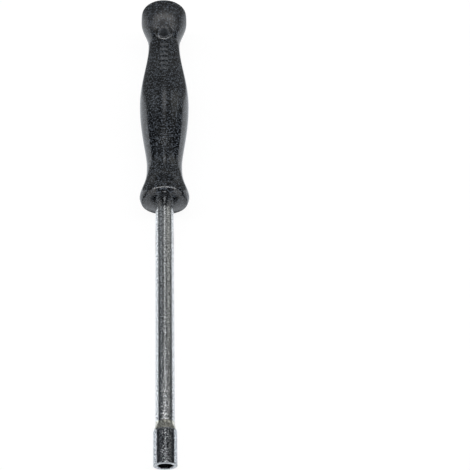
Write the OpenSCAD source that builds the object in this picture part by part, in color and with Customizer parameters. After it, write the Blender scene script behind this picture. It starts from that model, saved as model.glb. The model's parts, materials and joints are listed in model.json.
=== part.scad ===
// Hex socket adjusting tool: a steel rod with a socket tip at one end and a moulded handle at the other.
// The middle of the socket's mouth is the origin, the tool lies along +Y and its handle faces +Z.

/* [Socket tip] */
// Width of the hex socket across its flats
hex_flats = 5; // [3.5:0.1:5.6]
// Depth of the hex socket from the mouth
hex_depth = 7.2; // [4:0.1:14]
// Length of the cone that leads a screw head into the hex
lead_in = 0.15; // [0.1:0.05:0.5]
// Outside diameter of the tip
tip_d = 8; // [7.4:0.1:10]
// Bevel on the outer edge of the mouth
mouth_bevel = 0.2; // [0.1:0.05:0.5]
// Solid metal between the bottom of the socket and the spigot
web = 1; // [0.6:0.1:4]
// Length of the hollow shoulder that narrows the tip to the rod
shoulder_length = 3.3; // [1.2:0.1:4]

/* [Shaft] */
// Diameter of the rod
rod_d = 6.5; // [5.6:0.1:7.2]
// Distance from the socket's mouth to the handle's front face
reach = 98; // [60:0.5:160]
// Diameter of the turned spigot that holds the tip
spigot_d = 4.6; // [3:0.1:5]
// Length of the spigot
spigot_length = 5.4; // [3:0.1:8]
// Length of the tang that the handle is moulded round
tang_length = 52; // [40:1:62]
// Bevel on the inner end of the tang
tang_bevel = 0.8; // [0.3:0.1:1.5]
// Width across the swaged wings
wing_span = 8.8; // [7.6:0.1:10]
// Thickness of the wings
wing_thickness = 2.4; // [1.6:0.1:4]
// Length of the wings along the rod
wing_length = 11; // [8:0.5:16]
// Length over which the wings rise from the rod
wing_taper = 3; // [1:0.1:3.9]
// Distance from the tang's inner end to the wings
wing_setback = 12; // [4:0.5:16]

/* [Handle diameters] */
// Flat face round the rod
face_d = 16.4; // [11:0.1:17]
// Crest of the collar
collar_d = 18; // [17.2:0.1:22]
// Waist between the collar and the belly
waist_d = 12.9; // [12:0.1:15]
// Belly, the widest place
belly_d = 18.3; // [16:0.1:24]
// Neck under the knob
neck_d = 11.9; // [10.5:0.1:13]
// Knob at the end of the handle
knob_d = 17.4; // [15:0.1:22]

/* [Handle lengths] */
// Rounded front edge, from the flat face to the collar's crest
front_length = 2.2; // [1.5:0.1:5]
// Collar's crest to the waist
flare_length = 13.6; // [9:0.1:20]
// Waist to the belly
lower_grip = 26.2; // [20:0.1:45]
// Belly to the neck
upper_grip = 26.6; // [20:0.1:40]
// Neck to the knob
knob_flare = 11.4; // [9:0.1:20]
// Crowned end of the knob
knob_crown = 6.2; // [4:0.1:10]

/* [Handle shape] */
// How squarely the front edge is rounded: 2 is an ellipse, more is squarer, less is flatter
front_squareness = 1.3; // [1.2:0.1:5]
// How squarely the knob's end is crowned
crown_squareness = 4.6; // [2:0.1:6]
// How soon the flare fills out from the waist: 1 is an even wave, less is sooner
flare_fullness = 1.56; // [0.8:0.02:2]
// How soon the lower grip fills out from the waist
lower_fullness = 0.74; // [0.6:0.02:1.4]
// How soon the upper grip fills out from the neck
upper_fullness = 0.92; // [0.6:0.02:1.4]
// How soon the knob fills out from the neck
knob_fullness = 1.04; // [0.6:0.02:1.4]

/* [Hanging hole] */
// Diameter of the hole
hole_d = 3.6; // [2.5:0.1:5]
// Distance from the neck to the middle of the hole, towards the knob
hole_offset = 2.2; // [0.5:0.1:4]
// Outside diameter of the raised rings round the hole
ring_d = 6.6; // [6:0.1:9]
// Height of the middle of a ring's flat above the neck
ring_rise = 0.95; // [0.7:0.05:2]
// Tilt of the flats, which rise towards the knob
ring_tilt = 8; // [0:0.5:14]
// Bevel on the edges of the rings
ring_bevel = 0.25; // [0.1:0.05:0.4]

/* [Raised bars] */
// Number of bars in the column on the front of the grip
bar_count = 6; // [3:1:7]
// Width of a bar across the handle
bar_width = 3; // [2:0.1:5]
// Length of a bar along the handle
bar_length = 1.3; // [0.8:0.1:1.8]
// Spacing of the bars
bar_pitch = 2.4; // [2:0.1:3]
// Distance from the neck to the nearest bar's middle, towards the belly
bar_offset = 3.2; // [1:0.1:6]
// How far the bars stand above the grip
bar_rise = 0.3; // [0.15:0.05:0.6]

/* [Fits] */
// Gap between the tang and the plastic round it
moulding_gap = 0.02; // [0.01:0.01:0.1]
// Gap for the brazing metal round the spigot
braze_gap = 0.04; // [0.02:0.01:0.1]

/* [Hidden] */
$fn = 96;

// Length by which a cut runs past the face that it opens
overrun = 1;
// Straight pieces in each curved stretch of an outline
steps = 16;
// Full angle of the drill point at the bottom of the socket
drill_point = 118;
// Step between the hex and the drilled hole under it
broach_step = 0.2;

rod_r = rod_d / 2;
tip_r = tip_d / 2;
hex_corners = hex_flats / cos(30);
drill_r = hex_flats / 2 - broach_step;
drill_length = drill_r / tan(drill_point / 2);
tip_length = hex_depth + drill_length + web + spigot_length;
tang_end = reach + tang_length;
wing_end = tang_end - wing_setback;
wing_start = wing_end - wing_length;

// The handle's stations, each a radius and a distance along the tool
face_at = [face_d / 2, reach];
collar_at = [collar_d / 2, face_at[1] + front_length];
waist_at = [waist_d / 2, collar_at[1] + flare_length];
belly_at = [belly_d / 2, waist_at[1] + lower_grip];
neck_at = [neck_d / 2, belly_at[1] + upper_grip];
knob_at = [knob_d / 2, neck_at[1] + knob_flare];
end_at = [0, knob_at[1] + knob_crown];

hole_y = neck_at[1] + hole_offset;
ring_height = neck_at[0] + ring_rise;
first_bar_y = neck_at[1] - bar_offset;

// Shares of a stretch up to its second station, and back down to its first one
upwards = [1 / steps : 1 / steps : 1];
downwards = [1 - 1 / steps : -1 / steps : 0];

// Wave between a narrow station and a wide one
function swelling(narrow, wide, fullness, shares) = [
    for (share = shares)
        [narrow[0] + (wide[0] - narrow[0]) * (1 - cos(180 * pow(share, fullness))) / 2,
         narrow[1] + (wide[1] - narrow[1]) * share]
];

// Rounded edge between a wide station and a narrow one
function rounding(wide, narrow, squareness, shares) = [
    for (share = shares)
        let (power = 2 / squareness)
            [narrow[0] + (wide[0] - narrow[0]) * pow(cos(90 * share), power),
             wide[1] + (narrow[1] - wide[1]) * pow(sin(90 * share), power)]
];

// Half outline of the handle, from its front face to its end
handle_outline = concat(
    [[0, face_at[1]], face_at],
    rounding(collar_at, face_at, front_squareness, downwards),
    swelling(waist_at, collar_at, flare_fullness, downwards),
    swelling(waist_at, belly_at, lower_fullness, upwards),
    swelling(neck_at, belly_at, upper_fullness, downwards),
    swelling(neck_at, knob_at, knob_fullness, upwards),
    rounding(knob_at, end_at, crown_squareness, upwards)
);

// Hollow shoulder from the tip's full width down to the rod
shoulder_outline = [
    for (i = [0:steps])
        let (way = i / steps)
            [tip_r - (tip_r - rod_r) * sin(90 * way), tip_length - shoulder_length * (1 - way)]
];

// Turns a shape drawn along Z so that it lies along the tool
module along_tool() {
    rotate([-90, 0, 0])
        children();
}

// Rounds an outline of radii and distances about the tool's axis, starting from its upper side
module turned(outline) {
    along_tool()
        rotate(-90)
            rotate_extrude()
                polygon(outline);
}

// Straight round bar between two distances along the tool
module round_bar(from, to, d) {
    translate([0, from, 0])
        along_tool()
            cylinder(d = d, h = to - from);
}

// Pair of swaged wings, grown by a gap on every side
module wings(gap) {
    half_span = wing_span / 2 + gap;
    linear_extrude(wing_thickness + 2 * gap, center = true)
        polygon([
            [0, wing_start - gap],
            [half_span, wing_start + wing_taper - gap],
            [half_span, wing_end - wing_taper + gap],
            [0, wing_end + gap],
            [-half_span, wing_end - wing_taper + gap],
            [-half_span, wing_start + wing_taper - gap]
        ]);
}

// Space in the handle that the tang fills
module tang_space() {
    round_bar(reach - overrun, tang_end + moulding_gap, rod_d + 2 * moulding_gap);
    wings(moulding_gap);
}

// Raised ring with a flat top on the front of the neck, without its hole
module hanging_ring() {
    ring_r = ring_d / 2;
    root = -neck_at[0];
    translate([0, hole_y, ring_height])
        rotate([ring_tilt, 0, 0])
            rotate_extrude()
                polygon([
                    [0, root],
                    [ring_r, root],
                    [ring_r, -ring_bevel],
                    [ring_r - ring_bevel, 0],
                    [0, 0]
                ]);
}

// Column of bars that stand a little above the front of the grip
module raised_bars() {
    intersection() {
        turned([for (point = handle_outline) [point[0] + bar_rise, point[1]]]);
        for (i = [0:bar_count - 1])
            translate([-bar_width / 2, first_bar_y - i * bar_pitch - bar_length / 2, 0])
                cube([bar_width, bar_length, belly_d]);
    }
}

module handle() {
    color([0.13, 0.13, 0.14])
        difference() {
            union() {
                turned(handle_outline);
                hanging_ring();
                mirror([0, 0, 1])
                    hanging_ring();
                raised_bars();
            }
            tang_space();
            translate([0, hole_y, 0])
                cylinder(d = hole_d, h = 2 * (ring_height + overrun), center = true);
        }
}

module shaft() {
    spigot_end = tip_length - spigot_length;
    color([0.78, 0.79, 0.8])
        union() {
            turned([
                [0, spigot_end],
                [spigot_d / 2, spigot_end],
                [spigot_d / 2, tip_length],
                [rod_r, tip_length],
                [rod_r, tang_end - tang_bevel],
                [rod_r - tang_bevel, tang_end],
                [0, tang_end]
            ]);
            wings(0);
        }
}

module socket_tip() {
    color([0.68, 0.69, 0.7])
        difference() {
            turned(concat(
                [[0, 0], [tip_r - mouth_bevel, 0], [tip_r, mouth_bevel]],
                shoulder_outline,
                [[0, tip_length]]
            ));
            along_tool() {
                translate([0, 0, -overrun])
                    cylinder(d = hex_corners, h = hex_depth + overrun, $fn = 6);
                translate([0, 0, hex_depth])
                    cylinder(r1 = drill_r, r2 = 0, h = drill_length);
                translate([0, 0, -overrun])
                    cylinder(
                        d1 = hex_corners + 2 * overrun,
                        d2 = hex_corners - 2 * lead_in,
                        h = lead_in + overrun
                    );
            }
            round_bar(tip_length - spigot_length - braze_gap, tip_length + overrun, spigot_d + 2 * braze_gap);
        }
}

handle();
shaft();
socket_tip();
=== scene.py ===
import json
from math import atan, atan2, cos, pi, radians, sin, tan

import bpy
from mathutils import Matrix, Vector


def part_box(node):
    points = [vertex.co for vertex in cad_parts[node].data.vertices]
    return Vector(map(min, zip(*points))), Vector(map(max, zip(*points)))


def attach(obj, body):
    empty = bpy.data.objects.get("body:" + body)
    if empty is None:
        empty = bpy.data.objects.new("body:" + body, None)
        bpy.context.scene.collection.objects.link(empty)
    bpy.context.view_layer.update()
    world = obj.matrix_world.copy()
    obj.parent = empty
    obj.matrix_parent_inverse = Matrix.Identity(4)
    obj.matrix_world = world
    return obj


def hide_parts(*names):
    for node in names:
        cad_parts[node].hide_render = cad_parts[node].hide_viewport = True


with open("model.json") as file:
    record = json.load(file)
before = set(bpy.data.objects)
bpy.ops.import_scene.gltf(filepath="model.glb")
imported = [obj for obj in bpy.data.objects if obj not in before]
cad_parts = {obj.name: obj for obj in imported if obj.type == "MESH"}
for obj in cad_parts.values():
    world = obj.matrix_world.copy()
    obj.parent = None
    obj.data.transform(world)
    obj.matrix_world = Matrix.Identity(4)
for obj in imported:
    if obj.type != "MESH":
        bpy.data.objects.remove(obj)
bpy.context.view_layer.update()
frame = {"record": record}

# Rod: round steel bar, ground, polished and chrome plated. Its outer end is turned down to a spigot for
# the socket tip. Its inner end is a bevelled tang with two swaged wings, which the handle is moulded
# round so that the rod can neither turn nor pull out.
MM = 0.001
LATHE_STEPS = 128
WELD = 0.002 * MM
shaft_low, shaft_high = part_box("shaft")
tip_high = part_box("socket_tip")[1]
rod_radius = 3.25 * MM
spigot_radius = 2.3 * MM
tang_bevel = 0.8 * MM
wing_thickness = 2.4 * MM
wing_length = 11 * MM
wing_taper = 3 * MM
wing_setback = 12 * MM


def turn_on_lathe(name, outline):
    """Draws half an outline, point by point as (radius, distance), and spins it about the tool's axis."""
    bpy.ops.object.select_all(action="DESELECT")
    bpy.ops.mesh.primitive_plane_add(size=MM)
    piece = bpy.context.object
    piece.name = piece.data.name = name
    bpy.ops.object.mode_set(mode="EDIT")
    bpy.ops.mesh.select_mode(type="VERT")
    bpy.ops.mesh.select_all(action="SELECT")
    bpy.ops.mesh.merge(type="CENTER")
    bpy.ops.transform.translate(value=(outline[0][0], outline[0][1], 0))
    for here, there in zip(outline, outline[1:]):
        step = (there[0] - here[0], there[1] - here[1], 0)
        bpy.ops.mesh.extrude_region_move(TRANSFORM_OT_translate={"value": step})
    bpy.ops.mesh.select_all(action="SELECT")
    bpy.ops.mesh.spin(steps=LATHE_STEPS, angle=2 * pi, center=(0, 0, 0), axis=(0, 1, 0))
    bpy.ops.mesh.select_all(action="SELECT")
    bpy.ops.mesh.remove_doubles(threshold=WELD)
    bpy.ops.mesh.normals_make_consistent(inside=False)
    bpy.ops.object.mode_set(mode="OBJECT")
    return piece


rod = turn_on_lathe("chrome_rod", [
    (0, shaft_low.y),
    (spigot_radius, shaft_low.y),
    (spigot_radius, tip_high.y),
    (rod_radius, tip_high.y),
    (rod_radius, shaft_high.y - tang_bevel),
    (rod_radius - tang_bevel, shaft_high.y),
    (0, shaft_high.y),
])

# A face counts as facing an axis where its normal lies at least this much along it.
FACING = 0.9


def select_faces(piece, chosen):
    """Leaves only the faces selected, in edit mode, that the test picks."""
    bpy.ops.object.mode_set(mode="EDIT")
    bpy.ops.mesh.select_mode(type="FACE")
    bpy.ops.mesh.select_all(action="DESELECT")
    bpy.ops.object.mode_set(mode="OBJECT")
    for face in piece.data.polygons:
        face.select = chosen(face)
    bpy.ops.object.mode_set(mode="EDIT")


def swaged_wings(name, gap):
    """Flat plate with pinched ends: the wings, or the space for them with a gap all round."""
    straight = wing_length - 2 * wing_taper + 2 * gap
    middle = shaft_high.y - wing_setback - wing_length / 2
    size = (2 * (shaft_high.x + gap), straight, wing_thickness + 2 * gap)
    bpy.ops.object.select_all(action="DESELECT")
    bpy.ops.mesh.primitive_cube_add(size=1, location=(0, middle, 0), scale=size)
    plate = bpy.context.object
    plate.name = plate.data.name = name
    bpy.ops.object.transform_apply()
    for way in (-1, 1):
        select_faces(plate, lambda face: face.normal.y * way > FACING)
        bpy.ops.mesh.extrude_region_move(TRANSFORM_OT_translate={"value": (0, way * wing_taper, 0)})
        bpy.ops.transform.resize(value=(0, 1, 1))
    bpy.ops.mesh.select_all(action="SELECT")
    bpy.ops.mesh.remove_doubles(threshold=WELD)
    bpy.ops.object.mode_set(mode="OBJECT")
    return plate


def join_solid(piece, tool, operation):
    """Unites a piece with another solid, or cuts that solid out of it, and drops the other solid."""
    modifier = piece.modifiers.new(operation, "BOOLEAN")
    modifier.operation = operation
    modifier.solver = "EXACT"
    modifier.object = tool
    bpy.ops.object.select_all(action="DESELECT")
    bpy.context.view_layer.objects.active = piece
    piece.select_set(True)
    bpy.ops.object.modifier_apply(modifier=modifier.name)
    bpy.data.objects.remove(tool)


join_solid(rod, swaged_wings("rod_wings", 0), "UNION")


def linear(colour):
    """Turns an sRGB hex colour into the linear colour that a shader takes."""
    parts = [int(colour[i:i + 2], 16) / 255 for i in (1, 3, 5)]
    return [p / 12.92 if p <= 0.04045 else ((p + 0.055) / 1.055) ** 2.4 for p in parts] + [1]


def add_node(tree, kind, settings, *outputs, **links):
    """Adds a node, sets its sockets or options, and links other nodes' outputs to its sockets, in the
    order of the sockets or by name."""
    node = tree.nodes.new(kind)
    for name, value in settings.items():
        if isinstance(name, int) or name in node.inputs:
            node.inputs[name].default_value = value
        else:
            setattr(node, name, value)
    for socket, output in zip(node.inputs, outputs):
        tree.links.new(output, socket)
    for name, output in links.items():
        tree.links.new(output, node.inputs[name.replace("_", " ")])
    return node


def set_stops(ramp, stops):
    """Sets a colour ramp's stops from pairs of a position and a linear colour."""
    elements = ramp.color_ramp.elements
    while len(elements) < len(stops):
        elements.new(1)
    for element, (position, colour) in zip(elements, stops):
        element.position = position
        element.color = (*colour[:3], 1)


def new_material(name):
    """Starts a material with its shader and object coordinates."""
    material = bpy.data.materials.new(name)
    material.use_nodes = True
    tree = material.node_tree
    place = add_node(tree, "ShaderNodeTexCoord", {}).outputs["Object"]
    return material, tree, tree.nodes["Principled BSDF"], place


# Span in which most of a noise texture's values lie
NOISE_SPAN = {"From Min": 0.3, "From Max": 0.7}


def chrome_plate(name, dull, bright, grind_mm, mottle_mm, dimple_mm, gloss):
    """Polished chrome over ground steel: mirror streaks, broken a little by grinding lines round the bar
    and by a faint mottle where the plate is thinner. The grinding lines are drawn coarser than real
    ones, so that they show."""
    material, tree, shader, place = new_material(name)
    shader.inputs["Metallic"].default_value = 1
    stretch_round_bar = (0.05, 1, 0.05)
    groove_depth = 0.01 * MM
    stretched = add_node(tree, "ShaderNodeMapping", {"Scale": stretch_round_bar}, Vector=place)
    lines = add_node(
        tree, "ShaderNodeTexNoise", {"Scale": 1 / (grind_mm * MM), "Detail": 2},
        Vector=stretched.outputs["Vector"],
    )
    mottle = add_node(
        tree, "ShaderNodeTexNoise", {"Scale": 1 / (mottle_mm * MM), "Detail": 3}, Vector=place
    ).outputs["Fac"]
    plate = add_node(tree, "ShaderNodeValToRGB", {}, Fac=mottle)
    set_stops(plate, [(0.38, linear(dull)), (0.58, linear(bright))])
    tree.links.new(plate.outputs["Color"], shader.inputs["Base Color"])
    rough = add_node(
        tree, "ShaderNodeMapRange", {**NOISE_SPAN, "To Min": gloss[0], "To Max": gloss[1]}, Value=mottle
    )
    tree.links.new(rough.outputs["Result"], shader.inputs["Roughness"])
    grooves = add_node(
        tree, "ShaderNodeBump", {"Strength": 0.25, "Distance": groove_depth}, Height=lines.outputs["Fac"]
    )
    dimples = add_node(
        tree, "ShaderNodeBump", {"Strength": 1, "Distance": dimple_mm * MM},
        Height=mottle, Normal=grooves.outputs["Normal"],
    )
    tree.links.new(dimples.outputs["Normal"], shader.inputs["Normal"])
    return material


SHARP_EDGE = radians(30)


def smooth_and_seat(piece, node):
    """Shades a finished piece, fixes it to the tool and lets it stand for its node."""
    bpy.ops.object.select_all(action="DESELECT")
    bpy.context.view_layer.objects.active = piece
    piece.select_set(True)
    bpy.ops.object.shade_smooth_by_angle(angle=SHARP_EDGE)
    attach(piece, "root")
    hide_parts(node)


rod.data.materials.append(chrome_plate(
    "chrome_plated_bar", "#9a9c9d", "#fafcfd",
    grind_mm=0.4, mottle_mm=0.45, dimple_mm=0.055, gloss=(0.08, 0.2),
))
smooth_and_seat(rod, "shaft")

# Socket tip: steel sleeve turned from bar, bored, broached to a hex and chrome plated. It is brazed on
# the rod's spigot, and a hollow shoulder runs from its full width down to the rod.
mounts = {mount["name"]: mount for mount in frame["record"]["mounts"]}
tip_radius = mounts["tip_outside"]["dims"]["r_mm"] * MM
mouth_round = 0.2 * MM
shoulder_length = 3.3 * MM
shoulder_start = tip_high.y - shoulder_length
braze_gap = 0.04 * MM
bore_radius = spigot_radius + braze_gap
bore_bottom = shaft_low.y - braze_gap
hex_flats = 5 * MM
hex_corner = hex_flats / 2 / cos(radians(30))
hex_depth = 7.2 * MM
lead_in = 0.15 * MM
broach_step = 0.2 * MM
drill_point = radians(118)
drill_radius = hex_flats / 2 - broach_step
drill_bottom = hex_depth + drill_radius / tan(drill_point / 2)
overrun = 1 * MM
# A short straight stretch beside each curve keeps the shading of the flat next to it even.
edge_hold = 0.08 * MM
MOUTH_STEPS = 6
SHOULDER_STEPS = 24


def shares_of(steps):
    """Even shares of a stretch, up to the whole of it."""
    return [step / steps for step in range(1, steps + 1)]


tip_outline = [(0, 0), (tip_radius - mouth_round - edge_hold, 0), (tip_radius - mouth_round, 0)]
tip_outline += [
    (tip_radius - mouth_round * (1 - sin(pi / 2 * share)), mouth_round * (1 - cos(pi / 2 * share)))
    for share in shares_of(MOUTH_STEPS)
]
tip_outline += [(tip_radius, mouth_round + edge_hold), (tip_radius, shoulder_start - edge_hold)]
tip_outline += [
    (
        tip_radius - (tip_radius - rod_radius) * sin(pi / 2 * share),
        shoulder_start + shoulder_length * share,
    )
    for share in [0] + shares_of(SHOULDER_STEPS)
]
tip_outline += [(bore_radius, tip_high.y), (bore_radius, bore_bottom), (0, bore_bottom)]
tip = turn_on_lathe("socket_tip_sleeve", tip_outline)

bpy.ops.object.select_all(action="DESELECT")
bpy.ops.mesh.primitive_cylinder_add(
    vertices=6,
    radius=hex_corner,
    depth=hex_depth + overrun,
    location=(0, (hex_depth - overrun) / 2, 0),
    rotation=(radians(90), radians(30), 0),
)
hex_broach = bpy.context.object
bpy.ops.object.transform_apply()
join_solid(tip, hex_broach, "DIFFERENCE")
join_solid(tip, turn_on_lathe("drill", [
    (0, hex_depth - overrun),
    (drill_radius, hex_depth - overrun),
    (drill_radius, hex_depth),
    (0, drill_bottom),
]), "DIFFERENCE")
join_solid(tip, turn_on_lathe("countersink", [
    (0, -overrun),
    (hex_corner + overrun, -overrun),
    (hex_corner - lead_in, lead_in),
    (0, lead_in),
]), "DIFFERENCE")

tip.data.materials.append(chrome_plate(
    "chrome_plated_sleeve", "#7e8185", "#dcdfe2",
    grind_mm=0.5, mottle_mm=0.5, dimple_mm=0.035, gloss=(0.07, 0.16),
))
# The heat of the brazing has left the plate on the shoulder a little dull and yellow.
tip.data.materials.append(chrome_plate(
    "chrome_over_braze", "#b9b8ae", "#f6f5eb",
    grind_mm=0.5, mottle_mm=0.5, dimple_mm=0.03, gloss=(0.2, 0.26),
))
heated_from = shoulder_start + shoulder_length / 6
clear_of_bore = bore_radius + 0.25 * MM
for face in tip.data.polygons:
    radius = Vector((face.center.x, face.center.z)).length
    if radius > clear_of_bore and face.center.y > heated_from:
        face.material_index = 1
smooth_and_seat(tip, "socket_tip")

# Handle: black plastic, injection moulded round the rod's tang in one shot. It swells to fit the hand,
# with a collar in front, a knob behind, a hanging hole between two raised rings and a column of bars.
moulding_gap = 0.02 * MM
tang_bore = rod_radius + moulding_gap
tang_bottom = shaft_high.y + moulding_gap
front_length = 2.2 * MM
flare_length = 13.6 * MM
lower_grip = 26.2 * MM
upper_grip = 26.6 * MM
knob_flare = 11.4 * MM
handle_low, handle_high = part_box("handle")
face_at = (8.2 * MM, handle_low.y)
collar_at = (9 * MM, face_at[1] + front_length)
waist_at = (6.45 * MM, collar_at[1] + flare_length)
belly_at = (-handle_low.z, waist_at[1] + lower_grip)
neck_at = (5.95 * MM, belly_at[1] + upper_grip)
knob_at = (8.7 * MM, neck_at[1] + knob_flare)
end_at = (0, handle_high.y)
front_squareness = 1.3
flare_fullness = 1.56
lower_fullness = 0.74
upper_fullness = 0.92
knob_fullness = 1.04
crown_squareness = 4.6
GRIP_STEPS = 48
upwards = shares_of(GRIP_STEPS)
downwards = [1 - share for share in upwards]


def swelling(narrow, wide, fullness, shares):
    """Wave between a narrow station and a wide one. Less fullness fills out sooner."""
    return [
        (
            narrow[0] + (wide[0] - narrow[0]) * (1 - cos(pi * share ** fullness)) / 2,
            narrow[1] + (wide[1] - narrow[1]) * share,
        )
        for share in shares
    ]


def rounding(wide, narrow, squareness, shares):
    """Rounded edge between a wide station and a narrow one. More squareness is nearer a corner."""
    power = 2 / squareness
    return [
        (
            narrow[0] + (wide[0] - narrow[0]) * max(cos(pi / 2 * share), 0) ** power,
            wide[1] + (narrow[1] - wide[1]) * sin(pi / 2 * share) ** power,
        )
        for share in shares
    ]


handle = turn_on_lathe("moulded_handle", (
    [(0, tang_bottom), (tang_bore, tang_bottom), (tang_bore, face_at[1]), face_at]
    + rounding(collar_at, face_at, front_squareness, downwards)
    + swelling(waist_at, collar_at, flare_fullness, downwards)
    + swelling(waist_at, belly_at, lower_fullness, upwards)
    + swelling(neck_at, belly_at, upper_fullness, downwards)
    + swelling(neck_at, knob_at, knob_fullness, upwards)
    + rounding(knob_at, end_at, crown_squareness, upwards)
))
join_solid(handle, swaged_wings("wing_space", moulding_gap), "DIFFERENCE")


def moulded_plastic(name, dark, light, gloss):
    """Plastic from a spark-eroded mould: a satin black that goes pale at the sides. Its colour is flecked
    pale by the mould's grain and by painted glints, which stand in for the sparkle of that grain. The
    grain is about 0.2 mm, and is drawn coarser so that it shows. Fingers have rubbed the slope under the
    knob dull."""
    material, tree, shader, place = new_material(name)
    grain_width = 0.6 * MM
    erosion_depth = 0.02 * MM
    handled_patch = 14 * MM
    rubbed_roughness = 0.22
    rubbed_up_to = knob_at[1] - 2 * MM
    fresh_from = knob_at[1] + 4 * MM
    grain = add_node(
        tree, "ShaderNodeTexNoise", {"Scale": 1 / grain_width, "Detail": 3}, Vector=place
    ).outputs["Fac"]
    handling = add_node(
        tree, "ShaderNodeTexNoise", {"Scale": 1 / handled_patch, "Detail": 2}, Vector=place
    ).outputs["Fac"]
    # Painted glints: the pale flecks in the colour stand in for light glinting off the grain.
    grain_and_painted_glints = add_node(tree, "ShaderNodeValToRGB", {}, Fac=grain)
    set_stops(grain_and_painted_glints, [(0.48, linear(dark)), (0.67, linear(light))])
    tree.links.new(grain_and_painted_glints.outputs["Color"], shader.inputs["Base Color"])
    shader.inputs["Specular IOR Level"].default_value = 1
    satin = add_node(
        tree, "ShaderNodeMapRange", {**NOISE_SPAN, "To Min": gloss[0], "To Max": gloss[1]}, Value=handling
    ).outputs["Result"]
    distance = add_node(tree, "ShaderNodeSeparateXYZ", {}, Vector=place).outputs["Y"]
    slope = add_node(
        tree, "ShaderNodeMapRange",
        {"From Min": neck_at[1], "From Max": rubbed_up_to, "To Max": rubbed_roughness}, Value=distance,
    ).outputs["Result"]
    crown = add_node(
        tree, "ShaderNodeMapRange",
        {"From Min": fresh_from, "From Max": knob_at[1], "To Max": rubbed_roughness}, Value=distance,
    ).outputs["Result"]
    rubbed = add_node(tree, "ShaderNodeMath", {"operation": "MINIMUM"}, slope, crown).outputs["Value"]
    dulled = add_node(tree, "ShaderNodeMath", {"operation": "ADD"}, satin, rubbed)
    tree.links.new(dulled.outputs["Value"], shader.inputs["Roughness"])
    eroded = add_node(tree, "ShaderNodeBump", {"Strength": 1, "Distance": erosion_depth}, Height=grain)
    tree.links.new(eroded.outputs["Normal"], shader.inputs["Normal"])
    return material


# The raised bars are the same plastic, rubbed pale by hands and pockets. The wall of the hole is paler
# still: painted light, which lifts the shade deep inside the hole.
black_plastic = moulded_plastic("moulded_black_plastic", "#040405", "#777f89", gloss=(0.11, 0.16))
rubbed_plastic = moulded_plastic("rubbed_black_plastic", "#4c4f53", "#8f949a", gloss=(0.24, 0.32))
hole_painted_light_plastic = moulded_plastic("hole_wall_painted_light_plastic", "#85898e", "#b4b8bd", gloss=(0.3, 0.4))
finishes = (black_plastic, rubbed_plastic, hole_painted_light_plastic)


def give_finishes(solid, finish):
    """Gives a solid the handle's list of finishes, and one of them to all its faces."""
    for listed in finishes:
        solid.data.materials.append(listed)
    for face in solid.data.polygons:
        face.material_index = finishes.index(finish)


give_finishes(handle, black_plastic)

bar_count = 6
bar_size = (3 * MM, 1.3 * MM)
bar_pitch = 2.4 * MM
bar_offset = 3.2 * MM
bar_rise = 0.3 * MM
bar_clearance = 2 * MM
BAR_CUTS = 8
bars = []
for count in range(bar_count):
    bar_y = neck_at[1] - bar_offset - count * bar_pitch
    bpy.ops.object.select_all(action="DESELECT")
    bpy.ops.mesh.primitive_cube_add(
        size=1, location=(0, bar_y, belly_at[0] / 2 + bar_clearance), scale=(*bar_size, belly_at[0])
    )
    bar = bpy.context.object
    bpy.ops.object.transform_apply()
    select_faces(bar, lambda face: face.normal.z > FACING)
    bpy.ops.mesh.subdivide(number_cuts=BAR_CUTS)
    bpy.ops.object.mode_set(mode="OBJECT")
    top = bar.vertex_groups.new(name="top")
    top.add([point.index for point in bar.data.vertices if point.co.z > belly_at[0]], 1, "REPLACE")
    wrap = bar.modifiers.new("follow the grip", "SHRINKWRAP")
    wrap.target = handle
    wrap.wrap_method = "PROJECT"
    wrap.use_project_z = True
    wrap.use_positive_direction = False
    wrap.use_negative_direction = True
    wrap.vertex_group = "top"
    wrap.offset = bar_rise
    bpy.ops.object.modifier_apply(modifier=wrap.name)
    give_finishes(bar, rubbed_plastic)
    bars.append(bar)
for bar in bars:
    join_solid(handle, bar, "UNION")


def select_edges(piece, chosen):
    """Leaves only the edges selected, in edit mode, whose two ends pass the test."""
    bpy.ops.object.mode_set(mode="EDIT")
    bpy.ops.mesh.select_mode(type="EDGE")
    bpy.ops.mesh.select_all(action="DESELECT")
    bpy.ops.object.mode_set(mode="OBJECT")
    points = piece.data.vertices
    for edge in piece.data.edges:
        edge.select = chosen(points[edge.vertices[0]].co, points[edge.vertices[1]].co)
    bpy.ops.object.mode_set(mode="EDIT")


ROUND_SIDES = 64
BEVEL_SEGMENTS = 3
hole_radius = mounts["hanging_hole"]["dims"]["r_mm"] * MM
hole_y = mounts["hanging_hole"]["pos_m"][1]
hole_round = 0.15 * MM
ring_radius = 3.3 * MM
ring_height = neck_at[0] + 0.95 * MM
ring_depth = neck_at[0]
ring_tilt = radians(8)
ring_bevel = 0.25 * MM
for way in (1, -1):
    turned_up = ring_tilt if way > 0 else pi - ring_tilt
    normal = Vector((0, -sin(turned_up), cos(turned_up)))
    flat = Vector((0, hole_y, way * ring_height))
    bpy.ops.object.select_all(action="DESELECT")
    bpy.ops.mesh.primitive_cylinder_add(
        vertices=ROUND_SIDES,
        radius=ring_radius,
        depth=ring_depth,
        location=flat - normal * ring_depth / 2,
        rotation=(turned_up, 0, 0),
    )
    ring = bpy.context.object
    bpy.ops.object.transform_apply()
    select_edges(ring, lambda a, b: min((a - flat).dot(normal), (b - flat).dot(normal)) > -ring_bevel)
    bpy.ops.mesh.bevel(offset=ring_bevel, segments=BEVEL_SEGMENTS, affect="EDGES")
    bpy.ops.object.mode_set(mode="OBJECT")
    join_solid(handle, ring, "UNION")

hole_pin_length = 4 * ring_height
bpy.ops.object.select_all(action="DESELECT")
bpy.ops.mesh.primitive_cylinder_add(
    vertices=ROUND_SIDES, radius=hole_radius, depth=hole_pin_length, location=(0, hole_y, 0)
)
hole_pin = bpy.context.object
bpy.ops.object.transform_apply()
give_finishes(hole_pin, hole_painted_light_plastic)
join_solid(handle, hole_pin, "DIFFERENCE")


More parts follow.
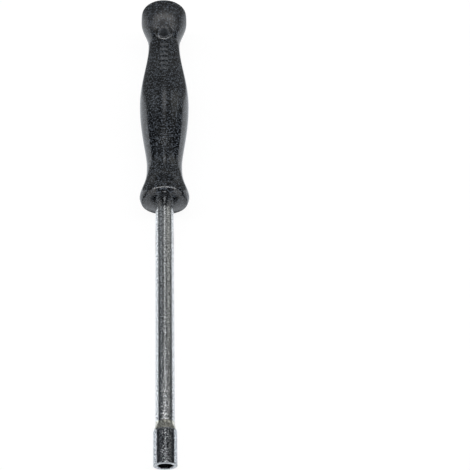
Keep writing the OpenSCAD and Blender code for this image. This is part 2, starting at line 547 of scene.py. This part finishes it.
def on_hole_mouth(a, b):
    """True of the edges round the two mouths of the hanging hole."""
    off_wall = 0.01 * MM
    level = abs(a.z - b.z) < 0.5 * (a - b).length
    radii = [Vector((point.x, point.y - hole_y)).length for point in (a, b)]
    return level and all(abs(radius - hole_radius) < off_wall for radius in radii)


select_edges(handle, on_hole_mouth)
bpy.ops.mesh.bevel(offset=hole_round, segments=BEVEL_SEGMENTS, affect="EDGES")
bpy.ops.object.mode_set(mode="OBJECT")
smooth_and_seat(handle, "handle")

# Floor: a plain white table top. The tool lies on its collar and on the edge of its tip, because the
# steel rod outweighs the handle, so the table slopes a little in the tool's own frame. Mirrors see the
# room's white ground through it, apart from a painted shade of the rod: a dark disc on the table close
# to the collar that only mirrors see.
rest_slope = atan2(collar_at[0] - tip_radius, collar_at[1] - mouth_round)
table_middle = (0, mouth_round, -tip_radius)
table_radius = 20
shade_y = face_at[1] - 11 * MM
shade_middle = (0, shade_y, -tip_radius - (shade_y - mouth_round) * sin(rest_slope))
shade_edge = 8.5 * MM
shade_core = 6 * MM
bpy.ops.object.select_all(action="DESELECT")
bpy.ops.mesh.primitive_circle_add(
    vertices=ROUND_SIDES,
    radius=table_radius,
    fill_type="NGON",
    location=table_middle,
    rotation=(-rest_slope, 0, 0),
)
table_top = bpy.context.object
table_top.name = "table_top"

# White paper: the camera sees it glow almost white, with a faint shadow of the tool.
white_table = bpy.data.materials.new("white_table")
white_table.use_nodes = True
glow_strength = 0.92
faint_grey = (0.2, 0.2, 0.2, 1)
tree = white_table.node_tree
tree.nodes.clear()
ray = add_node(tree, "ShaderNodeLightPath", {}).outputs
paper = add_node(tree, "ShaderNodeBsdfDiffuse", {"Color": linear("#f4f4f4")}).outputs["BSDF"]
faint_paper = add_node(tree, "ShaderNodeBsdfDiffuse", {"Color": faint_grey}).outputs["BSDF"]
glow = add_node(
    tree, "ShaderNodeEmission", {"Color": linear("#ffffff"), "Strength": glow_strength}
).outputs["Emission"]
lit_paper = add_node(tree, "ShaderNodeAddShader", {}, faint_paper, glow).outputs["Shader"]
table = add_node(
    tree, "ShaderNodeMixShader", {}, ray["Is Camera Ray"], paper, lit_paper
).outputs["Shader"]
position = add_node(tree, "ShaderNodeNewGeometry", {}).outputs["Position"]
off_shade = add_node(
    tree, "ShaderNodeVectorMath", {"operation": "DISTANCE", 1: shade_middle}, position
).outputs["Value"]
shaded = add_node(
    tree, "ShaderNodeMapRange", {"From Min": shade_edge, "From Max": shade_core}, Value=off_shade
).outputs["Result"]
see_through = add_node(tree, "ShaderNodeBsdfTransparent", {}).outputs["BSDF"]
# Painted shade: a dark patch that only mirrors see, in place of the rod's shadow close to the collar.
painted_rod_shade = add_node(tree, "ShaderNodeBsdfDiffuse", {"Color": linear("#202020")}).outputs["BSDF"]
mirrored = add_node(tree, "ShaderNodeMixShader", {}, shaded, see_through, painted_rod_shade).outputs["Shader"]
mirror_ray = add_node(
    tree, "ShaderNodeMath", {"operation": "MAXIMUM"}, ray["Is Glossy Ray"], ray["Is Transmission Ray"]
).outputs["Value"]
seen = add_node(tree, "ShaderNodeMixShader", {}, mirror_ray, table, mirrored).outputs["Shader"]
add_node(tree, "ShaderNodeOutputMaterial", {}, Surface=seen)
table_top.data.materials.append(white_table)

# Room: a dim studio, palest behind the tool, with a pale strip along the middle of its ceiling and a
# fainter one along each side. The polished rod shows them as long streaks. Below is a white ground that
# ends some way behind the tool and carries a painted shade of the tool straight under it. Mirrors see it
# through the table top.
room = bpy.data.worlds.new("dim_studio")
bpy.context.scene.world = room
room.use_nodes = True
tree = room.node_tree
tree.nodes.clear()
direction = add_node(tree, "ShaderNodeTexCoord", {}).outputs["Generated"]
axes = add_node(tree, "ShaderNodeSeparateXYZ", {}, Vector=direction).outputs
across = add_node(tree, "ShaderNodeMapRange", {"From Min": -1}, Value=axes["X"]).outputs["Result"]
along = add_node(tree, "ShaderNodeMapRange", {"From Min": -1}, Value=axes["Y"]).outputs["Result"]

# Each stop is a share of the way from in front of the tool to behind it, or from its left to its right.
walls = add_node(tree, "ShaderNodeValToRGB", {}, Fac=along)
set_stops(walls, [
    (0.13, (0.13, 0.13, 0.135)),
    (0.2, (0.06, 0.06, 0.065)),
    (0.46, (0.06, 0.06, 0.065)),
    (0.64, (0.025, 0.026, 0.03)),
    (0.69, (0.05, 0.053, 0.058)),
    (0.74, (0.13, 0.135, 0.135)),
    (0.8, (0.13, 0.133, 0.135)),
    (0.885, (0.13, 0.133, 0.135)),
    (0.915, (0.24, 0.243, 0.24)),
    (0.932, (0.24, 0.243, 0.24)),
    (0.95, (0.06, 0.062, 0.064)),
])
dark = (0, 0, 0)
left_strip = (0.14, 0.15, 0.165)
middle_strip = (0.7, 0.705, 0.71)
dim_gap = (0.03, 0.03, 0.03)
right_strip = (0.27, 0.27, 0.255)
strips = add_node(tree, "ShaderNodeValToRGB", {}, Fac=across)
set_stops(strips, [
    (0.07, dark),
    (0.16, left_strip),
    (0.22, left_strip),
    (0.3, dark),
    (0.42, dark),
    (0.47, middle_strip),
    (0.53, middle_strip),
    (0.59, dim_gap),
    (0.68, dim_gap),
    (0.76, right_strip),
    (0.88, right_strip),
    (0.94, dark),
])


def grey_stops(levels):
    """Stops of plain grey from pairs of a position and a level."""
    return [(position, (level, level, level)) for position, level in levels]


strip_strength = add_node(tree, "ShaderNodeValToRGB", {}, Fac=along)
set_stops(strip_strength, grey_stops([
    (0.6, 0), (0.65, 0.12), (0.69, 0.6), (0.735, 1.15), (0.748, 1.7), (0.8, 0.1),
]))
# The dip in the ground's strength straight under the tool is a painted shade of the tool.
ground_strength = add_node(tree, "ShaderNodeValToRGB", {}, Fac=along)
set_stops(ground_strength, grey_stops([
    (0.27, 0.66), (0.33, 1), (0.37, 1), (0.41, 0.15), (0.52, 0.15), (0.59, 1),
]))
wall_light = add_node(
    tree, "ShaderNodeBackground", {}, Color=walls.outputs["Color"]
).outputs["Background"]
strip_light = add_node(
    tree, "ShaderNodeBackground", {},
    Color=strips.outputs["Color"], Strength=strip_strength.outputs["Color"],
).outputs["Background"]
studio = add_node(tree, "ShaderNodeAddShader", {}, wall_light, strip_light).outputs["Shader"]
white_ground = add_node(
    tree, "ShaderNodeBackground", {"Color": linear("#f6faff")},
    Strength=ground_strength.outputs["Color"],
).outputs["Background"]

# The ground's far end is nearer at the horizon than lower down, and the ground is a little higher on
# the left.
end_direction = (0, 1, 0.18)
end_span = {"From Min": 0.515, "From Max": 0.455}
level_direction = (0.05, 0, 1)
level_span = {"From Min": 0.01, "From Max": -0.09}
backwards = add_node(
    tree, "ShaderNodeVectorMath", {"operation": "DOT_PRODUCT", 1: end_direction}, direction
).outputs["Value"]
raised = add_node(
    tree, "ShaderNodeVectorMath", {"operation": "DOT_PRODUCT", 1: level_direction}, direction
).outputs["Value"]
near = add_node(tree, "ShaderNodeMapRange", end_span, Value=backwards).outputs["Result"]
below = add_node(tree, "ShaderNodeMapRange", level_span, Value=raised).outputs["Result"]
on_ground = add_node(tree, "ShaderNodeMath", {"operation": "MULTIPLY"}, near, below).outputs["Value"]
surroundings = add_node(tree, "ShaderNodeMixShader", {}, on_ground, studio, white_ground)
add_node(tree, "ShaderNodeOutputWorld", {}, Surface=surroundings.outputs["Shader"])

# Lamps: soft boxes. One large one stands on each side in front and a small one over the camera. A long
# one hangs over the tool, which puts the thin bright line on the collar and the soft sheen on the knob.
tool_middle = Vector((0, 0.1, 0))


def soft_box(name, place, size, power):
    """Rectangular soft box that faces the middle of the tool."""
    light = bpy.data.lights.new(name, "AREA")
    light.shape = "RECTANGLE"
    light.size, light.size_y = size
    light.energy = power
    lamp = bpy.data.objects.new(name, light)
    lamp.location = place
    lamp.rotation_euler = (tool_middle - Vector(place)).to_track_quat("-Z", "Y").to_euler()
    bpy.context.scene.collection.objects.link(lamp)


soft_box("left_soft_box", place=(-1.9, -0.35, 1.0), size=(1.4, 1.8), power=5)
soft_box("right_soft_box", place=(1.9, -0.35, 1.0), size=(1.4, 1.8), power=5)
soft_box("front_soft_box", place=(0, -0.53, 1.14), size=(0.3, 0.3), power=0.9)
soft_box("ceiling_soft_box", place=(0, 0.62, 4), size=(9, 0.5), power=64)

# Camera: it looks down on the tool from in front of its tip. It stands in the tool's own middle plane
# and is panned to the right, so that the tool lies left of the middle of the picture.
PHOTO_SIDE = 470
SENSOR = 36
focal_pixels = 1329
axis_pixel = 164.65
aim = Vector((0, 85.15 * MM, 0))
distance = 474.6 * MM
down_tilt = radians(27.4)
lean = radians(0.17)
pan = atan((PHOTO_SIDE / 2 - axis_pixel) / focal_pixels)
forward = Vector((0, sin(down_tilt), -cos(down_tilt)))
upward = Vector((0, cos(down_tilt), sin(down_tilt)))
right = Vector((1, 0, 0))
panned_right = right * cos(pan) - forward * sin(pan)
panned_forward = forward * cos(pan) + right * sin(pan)
leant_right = panned_right * cos(lean) - upward * sin(lean)
leant_upward = upward * cos(lean) + panned_right * sin(lean)
turned = Matrix((leant_right, leant_upward, -panned_forward)).transposed().to_4x4()
camera = bpy.data.objects.new("camera", bpy.data.cameras.new("camera"))
camera.data.sensor_width = SENSOR
camera.data.lens = focal_pixels / PHOTO_SIDE * SENSOR
camera.data.clip_start = 0.01
camera.data.clip_end = 100
camera.matrix_world = Matrix.Translation(aim - forward * distance) @ turned
bpy.context.scene.collection.objects.link(camera)
bpy.context.scene.camera = camera
bpy.context.scene.view_settings.view_transform = "Standard"
